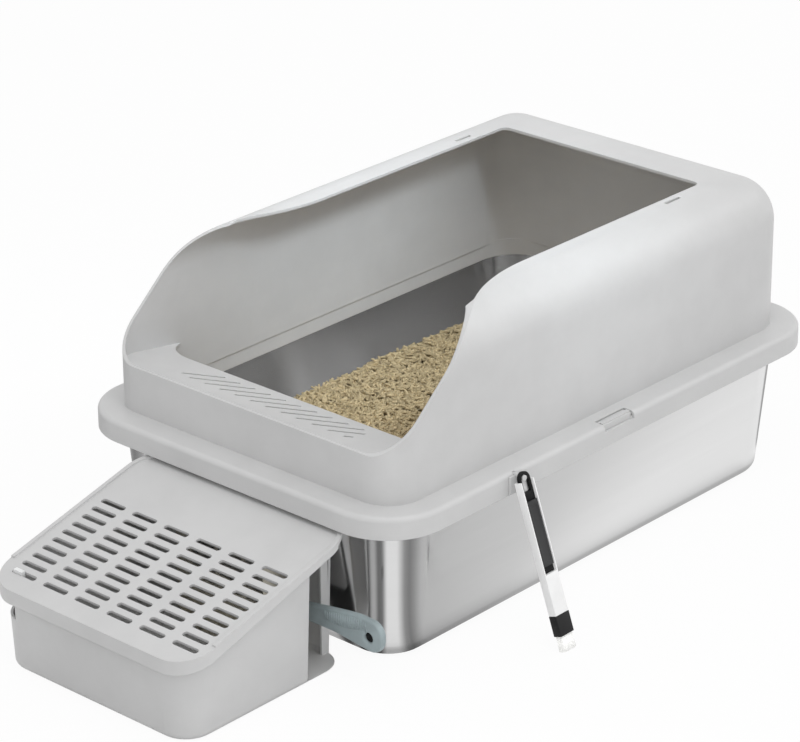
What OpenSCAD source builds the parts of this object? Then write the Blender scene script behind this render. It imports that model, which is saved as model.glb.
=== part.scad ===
// Drawer litter box: steel pan, lift-off shield with ledge, pull-out step box with slotted lid,
// sieve scoop stored in the step box, and a groove brush hung on the ledge.
// Millimetres, +Z up, entrance towards -Y, origin at the middle of the pan's flat bottom.

/* [Ledge and shield] */
// outer width across the ledge
ledge_w = 410; // [380:1:440]
// outer length along the ledge
ledge_l = 637; // [590:1:680]
// plan corner radius of the ledge
ledge_r = 62; // [50:1:75]
// height of the ledge's top face
ledge_z = 160; // [150:1:172]
// depth of the skirt that hangs from the ledge
skirt_h = 21.5; // [16:0.5:26]
// wall thickness of the moulded plastic
wall = 3; // [2.4:0.1:3.6]
// distance from the ledge's outer edge to the shield wall
shield_in = 25; // [23:0.5:28]
// height of the shield's flat top
shield_top = 311; // [290:1:330]
// radius of the shield's upper edges
shield_r = 43; // [36:1:46]
// plan corner radius of the shield at the front
front_r = 36; // [30:1:38]
// height of the shield's front wall
front_top = 206.5; // [196:0.5:214]
// half width of the top opening
open_hw = 124.5; // [112:0.5:130]
// rear edge of the top opening
open_y = 215.5; // [190:0.5:228]

/* [Pan] */
// sheet thickness of the steel pan
steel = 1.2; // [1:0.1:1.6]
// radius of the pan's bottom edge
pan_rb = 14; // [10:0.5:16]
// widening of the pan wall per millimetre of height
pan_draft = 0.0945; // [0.07:0.0005:0.1]
// depth of the litter bed
litter_h = 85; // [30:1:100]

/* [Step box] */
// sideways offset of the step box
step_x = 17.5; // [0:0.5:20]
// width of the step box at the floor
step_w = 236; // [220:1:244]
// length of the step box at the floor
step_l = 204; // [190:1:212]
// gap from the ledge's front edge to the box's rear face, to the rear
step_in = 14.8; // [10:0.1:16]
// height of the lid's top face at its front edge
lid_z0 = 82.5; // [76:0.5:84]
// rise of the lid per millimetre
lid_rise = 0.26; // [0.2:0.005:0.265]
// slot columns
slot_cols = 6; // [4:1:6]
// slot rows
slot_rows = 10; // [6:1:10]
// spacing of the slot columns
slot_px = 40.8; // [36:0.1:41]
// spacing of the slot rows, measured level
slot_py = 12.3; // [10:0.1:12.6]

/* [Brush] */
// lean of the hung brush, outwards
brush_lean = 19.5; // [15:0.5:22]

/* [Hidden] */
$fn = 72;
e = 0.01;
gap = 0.3;
hw = ledge_w / 2;
hl = ledge_l / 2;
lcx = hw - ledge_r;
lcy = hl - ledge_r;
skirt_z = ledge_z - skirt_h;
// shield
sw = hw - shield_in;
sf = -hl + shield_in + 1;
sr = hl - shield_in - 1;
szc = shield_top - shield_r;
rear_r = shield_r + 1;
s_arc = 130;
s_cy = -121;
s_cz = shield_top + 1 - s_arc;
s_slope = 41;
// pan
pcx = hw - 74;
pcy = hl - 74;
pan_u0 = 39.7;
rim_z = ledge_z - wall - gap;
rcx = lcx;
rcy = lcy;
rim_u = ledge_r - wall - 4.6;
// step box
bx = step_w / 2;
bl = step_l / 2;
br = 28;
bdraft = 0.044;
bty = -hl + step_in - bl;
bt = 2.5;
lid_t = 2.6;
lid_hw = bx + 11.5;
lid_f = bty - bl - 7.3;
lid_b = -hl + 17.5;
lid_r = 34;
lid_a = atan(lid_rise);
slot_y0 = lid_f + 22.5;
slot_l = 30;
slot_w = 5.8;
side_y = -hl - 38.6;
side_x = step_x + 94;
// scoop
sc_y = -hl - 4;
sc_z0 = bt + gap;
sc_h = 96;
sc_d = 32;
sc_x0 = -62;
sc_x1 = 80;
sc_t = 1.2;
hz0 = 41.5;
hz1 = 76.5;
hx1 = 211;
ht = 9;
h_y = sc_y - 1 - ht / 2;
// brush
hook_y = 163 - hl;
arm_z = ledge_z - 3;
arm_x = hw + 7.6;
brush_len = 170;
bw = 15;
bd = 11;
// clip windows
win_y0 = -26;
win_y1 = 17;

function lid_at(y) = lid_z0 + lid_rise * (y - lid_f);
function draft_c(u0, k, rb) = u0 + k * rb - rb * sqrt(1 + k * k);

// rounded plan outline, half sizes a and b, corner radius r
module plan(a, b, r) {
    square([2 * a, 2 * (b - r)], center = true);
    square([2 * (a - r), 2 * b], center = true);
    for (i = [-1, 1]) {
        for (j = [-1, 1]) {
            translate([i * (a - r), j * (b - r)]) circle(r);
        }
    }
}

// carries a profile round a rounded outline whose corner centres are at cx, cy
module sweep(cx, cy) {
    for (i = [0 : 3]) {
        s = (i == 0 || i == 3) ? 1 : -1;
        t = (i < 2) ? 1 : -1;
        translate([s * cx, t * cy, 0]) rotate([0, 0, 90 * i]) rotate_extrude(angle = 90) children();
    }
    for (m = [0, 1]) {
        mirror([m, 0, 0]) translate([cx, cy, 0]) rotate([90, 0, 0]) linear_extrude(2 * cy) children();
        mirror([0, m, 0]) rotate([0, 0, 90]) translate([cy, cx, 0]) rotate([90, 0, 0])
            linear_extrude(2 * cx) children();
    }
}

// section of a drafted wall with a rounded bottom edge, t inside its outer face
module draft_section(u0, k, rb, t, top) {
    q = sqrt(1 + k * k);
    c = draft_c(u0, k, rb);
    r = rb - t;
    u = u0 - t * q;
    translate([c, rb]) circle(r);
    polygon([[0, t], [c, t], [c + r / q, rb - k * r / q], [u + k * top, top], [0, top]]);
}

module drafted(cx, cy, u0, k, rb, t, top) {
    sweep(cx, cy) draft_section(u0, k, rb, t, top);
    translate([-cx - 1, -cy - 1, t]) cube([2 * cx + 2, 2 * cy + 2, top - t]);
}

// block with its outer top edge rounded
module round_top(u0, u1, z0, z1, r) {
    translate([u0, z0]) square([u1 - u0 - r, z1 - z0]);
    translate([u0, z0]) square([u1 - u0, z1 - z0 - r]);
    translate([u1 - r, z1 - r]) circle(r);
}

// ---------------------------------------------------------------- steel pan
module pan_blank() {
    difference() {
        drafted(pcx, pcy, pan_u0, pan_draft, pan_rb, 0, rim_z);
        drafted(pcx, pcy, pan_u0, pan_draft, pan_rb, steel, rim_z + 5);
    }
}

module steel_pan() {
    ui = pan_u0 - steel + pan_draft * rim_z;
    color([0.78, 0.78, 0.78]) union() {
        pan_blank();
        translate([0, 0, rim_z - steel]) linear_extrude(steel) difference() {
            plan(rcx + rim_u, rcy + rim_u, rim_u);
            plan(pcx + ui, pcy + ui, ui);
        }
        sweep(rcx, rcy) translate([rim_u, rim_z - 2.4]) difference() {
            circle(2.4, $fn = 32);
            circle(1.1, $fn = 32);
            translate([-4, -1.7]) square([4, 1.7]);
        }
    }
}

// ---------------------------------------------------------------- litter
module litter_bed() {
    color([0.69, 0.63, 0.47]) difference() {
        drafted(pcx, pcy, pan_u0, pan_draft, pan_rb, steel + gap, litter_h);
        translate([-hw, -hl, litter_h - e]) cube([2 * hw, 2 * hl, 10]);
    }
}

// ---------------------------------------------------------------- rim clips
module rim_clips() {
    x1 = rcx + rim_u + 2.4;
    y0 = win_y0 + 1.5;
    l = win_y1 - win_y0 - 3;
    color([0.86, 0.87, 0.87]) for (m = [0, 1]) {
        mirror([m, 0, 0]) union() {
            translate([x1 - 7.5, y0, rim_z + gap]) cube([9.4, l, 1.6]);
            translate([x1 + gap, y0, rim_z - 7]) cube([1.6, l, 8.9]);
            translate([x1 - 6, y0, rim_z - 7]) cube([7.9, l, 1.6]);
            translate([x1 - 3.5, y0, rim_z + gap]) cube([4, l, 3.1]);
        }
    }
}

// ---------------------------------------------------------------- shield
module shield_plan(t) {
    a = sw - t;
    f = front_r - t;
    r = rear_r - t;
    y0 = sf + t;
    y1 = sr - t;
    translate([-a, y0 + f]) square([2 * a, y1 - r - y0 - f]);
    translate([-a + f, y0]) square([2 * (a - f), f + 1]);
    translate([-a + r, y1 - r - 1]) square([2 * (a - r), r + 1]);
    for (s = [-1, 1]) {
        translate([s * (a - f), y0 + f]) circle(f);
        translate([s * (a - r), y1 - r]) circle(r);
    }
}

// half section of the upper edge, from the corner axis outwards
module edge_section(t) {
    r = shield_r - t;
    intersection() {
        translate([1, szc]) circle(r);
        translate([1, szc]) square(r + 1);
    }
    translate([0, szc - 40]) square([1 + r, 40]);
    translate([0, szc - 40]) square([1, 40 + r]);
}

module shield_solid(t, z0) {
    cx = sw - rear_r;
    cy = sr - rear_r;
    y0 = sf + 42;
    translate([0, 0, z0]) linear_extrude(szc - z0) shield_plan(t);
    intersection() {
        union() {
            for (m = [0, 1]) {
                mirror([m, 0, 0]) translate([cx, cy, 0]) rotate([90, 0, 0])
                    linear_extrude(cy - y0) edge_section(t);
                mirror([m, 0, 0]) translate([cx, cy, 0]) rotate_extrude(angle = 90) edge_section(t);
            }
            translate([-cx, cy, 0]) rotate([90, 0, 90]) linear_extrude(2 * cx) edge_section(t);
            translate([-cx, y0, szc - 40]) cube([2 * cx, cy - y0, 40 + shield_r - t]);
        }
        translate([-hw, -hl, szc - 1]) cube([2 * hw, 2 * hl, 100]);
    }
}

// cuts the sweeping front edge, given in side view as a ramp that runs into a large arc
module front_cut() {
    n = 28;
    ty = s_cy - s_arc * sin(s_slope);
    tz = s_cz + s_arc * cos(s_slope);
    fy = ty - (tz - front_top) / tan(s_slope);
    rotate([90, 0, 90]) translate([0, 0, -hw - 10]) linear_extrude(ledge_w + 20)
        polygon(concat([[s_cy, 400], [-hl - 20, 400], [-hl - 20, front_top], [fy, front_top]],
                       [for (i = [0 : n]) let (q = s_slope * (1 - i / n))
                           [s_cy - s_arc * sin(q), s_cz + s_arc * cos(q)]]));
}

// plan of the top opening, flaring towards the front
module top_opening() {
    r = 8;
    n = 12;
    y1 = s_cy - 26;
    y0 = -52;
    translate([-open_hw, y1 - 20]) square([2 * open_hw, open_y - r - y1 + 20]);
    translate([-open_hw + r, open_y - r - 1]) square([2 * (open_hw - r), r + 1]);
    for (s = [-1, 1]) {
        translate([s * (open_hw - r), open_y - r]) circle(r);
        polygon(concat([for (i = [0 : n]) [s * (open_hw + 24 * pow(i / n, 2)), y0 + (y1 - y0) * i / n]],
                       [[s * (open_hw + 24), y1 - 12], [s * (open_hw - 2), y1 - 12], [s * (open_hw - 2), y0]]));
    }
}

module lip_plan() {
    r = 42;
    y0 = -hl + 90.5;
    difference() {
        shield_plan(1);
        translate([-sw + 1, y0 + r]) square([2 * sw - 2, 2 * hl]);
        translate([-sw + 1 + r, y0]) square([2 * (sw - 1 - r), 2 * hl]);
        for (s = [-1, 1]) {
            translate([s * (sw - 1 - r), y0 + r]) circle(r);
        }
    }
}

module lip() {
    g = 0.164;
    y0 = sf;
    y1 = -hl + 145;
    intersection() {
        rotate([90, 0, 90]) translate([0, 0, -sw]) linear_extrude(2 * sw)
            polygon([[y0, front_top], [y1, front_top - g * (y1 - y0)],
                     [y1, front_top - g * (y1 - y0) - wall], [y0, front_top - wall]]);
        translate([0, 0, ledge_z]) linear_extrude(80) lip_plan();
    }
}

// slanted vent slots in the front lip
module lip_slots() {
    a = 38.5;
    l = 28 / sin(a);
    intersection() {
        union() {
            for (i = [-9 : 3]) {
                translate([63 + 19.5 * i, -hl + 50, front_top - 40]) rotate([0, 0, a])
                    linear_extrude(60) {
                        translate([0, -1.5]) square([l, 3]);
                        circle(1.5, $fn = 24);
                        translate([l, 0]) circle(1.5, $fn = 24);
                    }
            }
        }
        translate([-108, -hl + 47, front_top - 40]) cube([216, 35, 60]);
    }
}

module shield() {
    ui = sw - 2 - pcx;
    color([0.80, 0.81, 0.81]) difference() {
        union() {
            difference() {
                shield_solid(0, ledge_z - wall);
                shield_solid(wall, ledge_z - 60);
                front_cut();
                translate([0, 0, szc]) linear_extrude(100) top_opening();
            }
            lip();
            translate([0, 0, ledge_z - wall]) linear_extrude(wall) difference() {
                plan(hw - 5, hl - 5, ledge_r - 5);
                plan(pcx + ui, pcy + ui, ui);
            }
            translate([0, 0, ledge_z - 18]) linear_extrude(18 - wall + 1) difference() {
                plan(pcx + ui + 2, pcy + ui + 2, ui + 2);
                plan(pcx + ui, pcy + ui, ui);
            }
            sweep(lcx, lcy) difference() {
                round_top(ledge_r - 7, ledge_r, skirt_z, ledge_z, 5);
                round_top(ledge_r - 12, ledge_r - wall, skirt_z - 10, ledge_z - wall, 2);
            }
        }
        lip_slots();
        for (m = [0, 1]) {
            mirror([m, 0, 0]) {
                translate([hw - 13.5, win_y0, ledge_z - wall - 1]) cube([20, win_y1 - win_y0, 20]);
                translate([hw - wall - 0.6, win_y0, ledge_z - 7]) cube([20, win_y1 - win_y0, 20]);
                translate([open_hw + 6.5, 150, szc]) cube([4, 22, 60]);
            }
        }
        translate([hw - 6, hook_y, arm_z]) rotate([0, 90, 0]) cylinder(r = 2.3, h = 12, $fn = 32);
    }
}

// ---------------------------------------------------------------- brush hook
module brush_hook() {
    color([0.82, 0.83, 0.83]) union() {
        translate([hw + 0.05, hook_y - 9, skirt_z + 1]) cube([2, 18, skirt_h - 4]);
        translate([hw - wall - 1.8, hook_y, arm_z]) rotate([0, 90, 0]) cylinder(r = 2, h = wall + 15.3, $fn = 32);
        translate([hw + 13.5, hook_y, arm_z]) cylinder(r = 2, h = 8, $fn = 32);
        translate([hw + 13.5, hook_y, arm_z]) sphere(2, $fn = 32);
        translate([hw + 13.5, hook_y, arm_z + 8]) sphere(2, $fn = 32);
    }
}

// ---------------------------------------------------------------- brush
// frame of the hung brush: +X out through its open face, -Z along it to the tip
module brush_frame() {
    translate([arm_x, hook_y, arm_z + 2 + gap + 3.2]) rotate([0, -brush_lean, 0]) children();
}

module brush_sleeve() {
    s0 = 12;
    s1 = 100;
    s2 = 146;
    color([0.95, 0.95, 0.95]) brush_frame() difference() {
        translate([-bd / 2, -bw / 2, -s2]) cube([bd, bw, s2 - s0]);
        translate([-bd / 2 + 1.5, -bw / 2 + 1.5, -s1]) cube([bd, bw - 3, s1]);
    }
}

module brush_handle() {
    s0 = 12;
    s1 = 99.6;
    hw0 = (bw - 3) / 2 - gap;
    color([0.09, 0.09, 0.09]) brush_frame() difference() {
        union() {
            translate([-bd / 2 + 1.8, -hw0, -s1]) cube([6.6, 2 * hw0, s1 - 22]);
            translate([-1.6, 0, 0]) rotate([0, 90, 0]) linear_extrude(3.2) {
                translate([6.2, 0]) circle(6.2);
                translate([6.2, -hw0]) square([20, 2 * hw0]);
            }
        }
        translate([-10, 0, 0]) rotate([0, 90, 0]) linear_extrude(20) {
            translate([6.7, 0]) circle(3.5);
            translate([6.7, -3.5]) square([11, 7]);
            translate([17.7, 0]) circle(3.5);
        }
        translate([1.6, -hw0 + 1.2, -s1 + 6]) cube([10, 2 * hw0 - 2.4, s1 - 34]);
    }
}

module brush_ferrule() {
    color([0.12, 0.12, 0.12]) brush_frame() translate([-bd / 2, -bw / 2, -158]) cube([bd, bw, 12]);
}

module brush_bristles() {
    color([0.95, 0.95, 0.93]) brush_frame()
        translate([-bd / 2 + 1, -bw / 2 + 1, -brush_len]) cube([bd - 2, bw - 2, brush_len - 158]);
}

// ---------------------------------------------------------------- step box
// everything below a plane parallel to the lid's top, d under it
module under_lid(d) {
    y0 = lid_f - 60;
    y1 = -hl + 60;
    rotate([90, 0, 90]) translate([0, 0, -hw]) linear_extrude(2 * hw)
        polygon([[y0, -20], [y0, lid_at(y0) - d], [y1, lid_at(y1) - d], [y1, -20]]);
}

module step_box() {
    color([0.80, 0.81, 0.81]) intersection() {
        under_lid(lid_t + 0.1 + gap);
        union() {
            translate([step_x, bty, 0]) difference() {
                drafted(bx - br, bl - br, br, bdraft, 6, 0, 150);
                drafted(bx - br, bl - br, br, bdraft, 6, bt, 160);
                // open corner for the scoop's handle
                translate([side_x - step_x, side_y - bty, bt]) cube([100, 100, 200]);
                // finger notch at the front left corner
                translate([-bx - 20, -bl - 20, 51]) cube([43, 44, 200]);
            }
            // return at the end of the rear wall
            translate([side_x - 2.5, -hl + step_in - 9, 2]) cube([2.5, 9, 150]);
            // cradle ribs for the stored scoop
            for (x = [-40, 40]) {
                translate([x, sc_y + gap, 2]) cube([2.5, -hl + step_in - 1 - sc_y - gap, 22]);
                translate([x, sc_y - sc_d - gap - 8, 2]) cube([2.5, 8, 14]);
            }
        }
    }
}

// ---------------------------------------------------------------- step lid
module lid_plan(t) {
    translate([step_x, (lid_f + lid_b) / 2]) plan(lid_hw - t, (lid_b - lid_f) / 2 - t, lid_r - t);
}

// slab between two planes parallel to the lid, a and b under its top face
module lid_slab(a, b) {
    y0 = lid_f - 20;
    y1 = lid_b + 20;
    rotate([90, 0, 90]) translate([0, 0, -hw]) linear_extrude(2 * hw)
        polygon([[y0, lid_at(y0) - b], [y0, lid_at(y0) - a], [y1, lid_at(y1) - a], [y1, lid_at(y1) - b]]);
}

module skirt_slab() {
    y0 = lid_f - 20;
    y1 = lid_b - 24;
    k = lid_rise + 0.045;
    z0 = lid_z0 - 14 - 20 * k;
    rotate([90, 0, 90]) translate([0, 0, -hw]) linear_extrude(2 * hw)
        polygon([[y0, z0], [y0, lid_at(y0) - 1], [y1, lid_at(y1) - 1], [y1, z0 + k * (y1 - y0)]]);
}

module lid_slots() {
    cx = step_x + 2.5;
    for (i = [0 : slot_cols - 1]) {
        for (j = [0 : slot_rows - 1]) {
            translate([cx + (i - (slot_cols - 1) / 2) * slot_px, slot_y0 + j * slot_py, 0]) linear_extrude(200) {
                square([slot_l - slot_w, slot_w], center = true);
                for (s = [-1, 1]) {
                    translate([s * (slot_l - slot_w) / 2, 0]) circle(slot_w / 2, $fn = 24);
                }
            }
        }
    }
}

module step_lid() {
    color([0.82, 0.83, 0.83]) difference() {
        union() {
            intersection() {
                lid_slab(0, lid_t);
                linear_extrude(300) lid_plan(0);
            }
            // raised edge, left open at the front
            intersection() {
                lid_slab(-1.8, 1);
                linear_extrude(300) difference() {
                    lid_plan(0);
                    lid_plan(4);
                    translate([-hw, lid_f - 10]) square([2 * hw, 44]);
                }
            }
            intersection() {
                skirt_slab();
                linear_extrude(300) difference() {
                    lid_plan(0);
                    lid_plan(2.4);
                }
            }
        }
        lid_slots();
    }
}

// ---------------------------------------------------------------- lid catch
module lid_catch() {
    x0 = step_x + 2.5 - (slot_cols - 1) / 2 * slot_px - slot_l / 2 + 2.5;
    zt = lid_at(slot_y0);
    color([0.93, 0.93, 0.93]) union() {
        translate([x0, slot_y0 - 2.3, 60]) cube([11, 4.6, zt - 60 + 2.2]);
        translate([x0, slot_y0 - 4.5, 60]) cube([11, 4.5, 4]);
    }
}

// ---------------------------------------------------------------- scoop
module scoop_head() {
    zc = sc_z0 + sc_h / 2;
    l = sc_x1 - sc_x0;
    color([0.75, 0.75, 0.74]) difference() {
        translate([0, sc_y, 0]) rotate([90, 0, 0]) linear_extrude(sc_d) scoop_plan(0);
        translate([0, sc_y - sc_t, 0]) rotate([90, 0, 0]) linear_extrude(sc_d) scoop_plan(sc_t);
        // raked front mouth
        translate([0, 0, -20]) linear_extrude(160)
            polygon([[sc_x0 - 30, sc_y + 5], [sc_x0, sc_y + 5], [sc_x0, sc_y - 6],
                     [sc_x0 + 62, sc_y - sc_d - 1], [sc_x0 - 30, sc_y - sc_d - 1]]);
        // sieve slots
        for (j = [0 : 6]) {
            for (i = [0 : 2]) {
                translate([sc_x0 + 22 + i * 34, sc_y + 5, zc - 36 + j * 12]) rotate([90, 0, 0]) linear_extrude(20) {
                    translate([0, -2.6]) square([26, 5.2]);
                    translate([0, 0]) circle(2.6, $fn = 24);
                    translate([26, 0]) circle(2.6, $fn = 24);
                }
            }
        }
        for (s = [-1, 1]) {
            translate([sc_x1 - 5, h_y, 59 + s * 8]) rotate([0, 90, 0]) cylinder(r = 2.02, h = 10, $fn = 32);
        }
    }
}

module scoop_plan(t) {
    r = 16;
    translate([sc_x0 - 10, sc_z0 + t]) square([sc_x1 - r - sc_x0 + 10, sc_h - 2 * t]);
    translate([sc_x1 - r - 1, sc_z0 + r]) square([r + 1 - t, sc_h - 2 * r]);
    for (z = [sc_z0 + r, sc_z0 + sc_h - r]) {
        translate([sc_x1 - r, z]) circle(r - t);
    }
}

module handle_plan() {
    r = (hz1 - hz0) / 2;
    xe = hx1 - r;
    zm = (hz0 + hz1) / 2;
    n = 14;
    translate([xe, zm]) circle(r);
    polygon(concat([[sc_x1 + gap, hz0 + 1], [118, hz0]], [[xe, hz0], [xe, hz1]],
                   [for (i = [0 : n]) let (x = 150 - 32 * i / n) [x, hz1 - 10 * pow(i / n, 2)]],
                   [[sc_x1 + gap, hz1 - 11]]));
}

module scoop_handle() {
    y0 = h_y + ht / 2;
    color([0.44, 0.49, 0.50]) difference() {
        union() {
            translate([0, y0, 0]) rotate([90, 0, 0]) linear_extrude(ht) handle_plan();
            translate([sc_x1 + gap, h_y - 9, 59 - 14]) cube([5, 14, 28]);
        }
        translate([186, y0 + 15, 55]) rotate([90, 0, 0]) cylinder(r = 3.6, h = 40, $fn = 32);
        for (s = [-1, 1]) {
            translate([sc_x1 - 5, h_y, 59 + s * 8]) rotate([0, 90, 0]) cylinder(r = 2.02, h = 20, $fn = 32);
        }
    }
}

module scoop_rivets() {
    color([0.8, 0.8, 0.8]) for (s = [-1, 1]) {
        translate([sc_x1 - sc_t - 1.6, h_y, 59 + s * 8]) rotate([0, 90, 0]) {
            cylinder(r = 3.6, h = 1.5, $fn = 32);
            cylinder(r = 2, h = 16, $fn = 32);
        }
    }
}

steel_pan();
litter_bed();
rim_clips();
shield();
brush_hook();
brush_sleeve();
brush_handle();
brush_ferrule();
brush_bristles();
step_box();
step_lid();
lid_catch();
scoop_head();
scoop_handle();
scoop_rivets();
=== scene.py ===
"""Drawer litter box: finishes, litter, bristles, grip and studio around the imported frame."""

import math

import bmesh
import bpy
import numpy as np
from bpy.props import FloatProperty, FloatVectorProperty, IntProperty, PointerProperty
from mathutils import Matrix, Vector


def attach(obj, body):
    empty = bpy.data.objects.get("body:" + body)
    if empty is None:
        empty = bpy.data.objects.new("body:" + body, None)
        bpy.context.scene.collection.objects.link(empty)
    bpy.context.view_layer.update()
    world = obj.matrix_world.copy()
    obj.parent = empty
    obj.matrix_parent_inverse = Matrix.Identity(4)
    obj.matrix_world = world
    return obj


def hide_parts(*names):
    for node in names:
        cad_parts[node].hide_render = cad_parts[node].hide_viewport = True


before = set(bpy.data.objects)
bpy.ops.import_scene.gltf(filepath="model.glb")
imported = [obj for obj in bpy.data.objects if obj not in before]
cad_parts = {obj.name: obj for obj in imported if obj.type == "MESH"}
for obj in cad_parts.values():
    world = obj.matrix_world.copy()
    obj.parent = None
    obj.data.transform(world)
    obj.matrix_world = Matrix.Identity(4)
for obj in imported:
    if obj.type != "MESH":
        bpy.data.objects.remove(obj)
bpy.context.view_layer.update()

bl_info = {
    "name": "Drawer Litter Box",
    "version": (1, 0, 0),
    "blender": (4, 5, 0),
    "location": "3D View > Sidebar > Litter Box",
    "description": "Finishes and fine parts of a drawer litter box",
    "category": "Object",
}

MM = 0.001


def screen(red, green, blue):
    """A screen colour, 0 to 255, as Blender's linear numbers."""
    parts = [channel / 255 for channel in (red, green, blue)]
    return tuple(p / 12.92 if p <= 0.04045 else ((p + 0.055) / 1.055) ** 2.4 for p in parts)


def tinted(colour, by):
    """A colour made darker or paler, never past white."""
    return tuple(min(1.0, channel * by) for channel in colour)


def grey(value):
    """A neutral linear colour."""
    return (value, value, value)


def placed(name, data):
    """A new object in the scene."""
    made = bpy.data.objects.new(name, data)
    bpy.context.scene.collection.objects.link(made)
    return made


def on_circle(radius, steps):
    """Points round a circle about the origin."""
    turn = [2 * math.pi * i / steps for i in range(steps)]
    return [(radius * math.cos(a), radius * math.sin(a)) for a in turn]


def between_rings(rings, n):
    """Quads that join rings of n points, each to the next."""
    return [
        (r * n + i, r * n + (i + 1) % n, (r + 1) * n + (i + 1) % n, (r + 1) * n + i)
        for r in range(rings - 1)
        for i in range(n)
    ]


# ------------------------------------------------------------------ shader maths
class Wire:
    """A socket of a node tree. Arithmetic on it adds Math nodes."""

    def __init__(self, tree, socket=None):
        self.tree = tree
        self.socket = socket

    def add(self, kind, settings=None, inputs=None, output=0):
        """Any node: its settings first, then its sockets' values or links; returns one output."""
        node = self.tree.nodes.new(kind)
        for name, value in (settings or {}).items():
            if name == "stops":
                ramp = node.color_ramp.elements
                for stop, (place, colour) in zip((ramp[0], ramp[1]), (value[0], value[-1])):
                    stop.position = place
                    stop.color = (*colour, 1.0)
                for place, colour in value[1:-1]:
                    ramp.new(place).color = (*colour, 1.0)
            else:
                setattr(node, name, value)
        for name, value in (inputs or {}).items():
            self.put(node.inputs[name], value)
        return Wire(self.tree, node.outputs[output]) if node.outputs else None

    def put(self, socket, value):
        """A link or a constant onto a socket; a colour gets its fourth number."""
        if isinstance(value, Wire):
            self.tree.links.new(value.socket, socket)
        elif isinstance(value, tuple) and len(value) == 3 and len(socket.default_value) == 4:
            socket.default_value = (*value, 1.0)
        else:
            socket.default_value = value

    def other(self, output):
        """Another output of the same node."""
        return Wire(self.tree, self.socket.node.outputs[output])

    def place(self):
        """The object's own coordinates."""
        return self.add("ShaderNodeTexCoord", output="Object")

    def math(self, operation, *terms):
        return self.add("ShaderNodeMath", {"operation": operation}, dict(enumerate(terms)))

    def __add__(self, term):
        return self.math("ADD", self, term)

    __radd__ = __add__

    def __sub__(self, term):
        return self.math("SUBTRACT", self, term)

    def __rsub__(self, term):
        return self.math("SUBTRACT", term, self)

    def __mul__(self, term):
        return self.math("MULTIPLY", self, term)

    __rmul__ = __mul__

    def above(self, low, high):
        """0 at or under low, 1 at or over high, smooth between."""
        return self.add(
            "ShaderNodeMapRange",
            {"interpolation_type": "SMOOTHSTEP"},
            {"Value": self, "From Min": low, "From Max": high},
        )

    def mix(self, first, second):
        """Colour mix with this wire as the factor."""
        inputs = {0: self, 6: first, 7: second}
        return self.add("ShaderNodeMix", {"data_type": "RGBA"}, inputs, output=2)

    def scaled(self, by):
        """A vector stretched by a constant vector."""
        return self.add("ShaderNodeVectorMath", {"operation": "MULTIPLY"}, {0: self, 1: by})

    def noise(self, scale, detail=2.0, roughness=0.5):
        inputs = {"Vector": self, "Scale": scale, "Detail": detail, "Roughness": roughness}
        return self.add("ShaderNodeTexNoise", None, inputs)

    def cells(self, scale, feature="F1", output="Distance"):
        inputs = {"Vector": self, "Scale": scale}
        return self.add("ShaderNodeTexVoronoi", {"feature": feature}, inputs, output=output)


def bare_graph(owner):
    """The emptied node tree of a material or world."""
    owner.use_nodes = True
    owner.node_tree.nodes.clear()
    return Wire(owner.node_tree)


def material(name):
    """A new material: its graph and its Principled shader node."""
    made = bpy.data.materials.new(name)
    graph = bare_graph(made)
    shader = graph.add("ShaderNodeBsdfPrincipled")
    graph.add("ShaderNodeOutputMaterial", None, {"Surface": shader})
    return made, graph, shader.socket.node


def feed(graph, shader, **sockets):
    """Constants or wires onto the shader's own sockets, underscores for spaces."""
    for name, value in sockets.items():
        graph.put(shader.inputs[name.replace("_", " ")], value)


def bump(graph, height, depth, strength=1.0, normal=None):
    """Relief of a given depth in metres; height runs from 0 to 1."""
    inputs = {"Height": height, "Distance": depth, "Strength": strength}
    if normal is not None:
        inputs["Normal"] = normal
    return graph.add("ShaderNodeBump", None, inputs)


def rounded(graph, radius):
    """Normals that run over the part's edges as if they had that radius."""
    return graph.add("ShaderNodeBevel", {"samples": 6}, {"Radius": radius})


def edge_wear(graph, soft_normal):
    """1 on sharp edges, 0 on faces: how far the rounded normal leaves the flat one."""
    flat = graph.add("ShaderNodeNewGeometry", output="Normal")
    both = {0: flat, 1: soft_normal}
    along = graph.add("ShaderNodeVectorMath", {"operation": "DOT_PRODUCT"}, both, output=1)
    return (1 - along).above(0.02, 0.3)


# ------------------------------------------------------------------ finishes
# Noises: repeats in a metre, detail and roughness. Stretches: how a pattern is drawn out.
FLOW = (7.0, 3.0, 0.55)
FLOW_STRETCH = (1.0, 0.6, 1.6)
CLOUD = (26.0, 4.0, 0.6)
SMALL_CLOUD = (60.0, 3.0, 0.5)
GRIP_CLOUD = (40.0, 3.0, 0.6)
SPECK = (1400.0, 2.0, 0.6)
SMALL_SPECK = (2200.0, 2.0, 0.5)
GRIP_SPECK = (1600.0, 3.0, 0.6)
SCUFF = (3.0, 5.0, 0.7)
SCUFF_STRETCH = (40.0, 9.0, 60.0)
LINES = BANDS = (1.0, 2.0, 0.5)
LINE_STRETCH = (9.0, 9.0, 5200.0)
BAND_STRETCH = (2.0, 2.0, 60.0)
SMEAR = (1.0, 3.0, 0.5)
SMEAR_STRETCH = (5.0, 5.0, 9.0)
FIBRE = (900.0, 4.0, 0.65)
GROUND_CELLS = 170.0
GROUND_STRETCH = (1.0, 1.9, 1.0)
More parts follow.
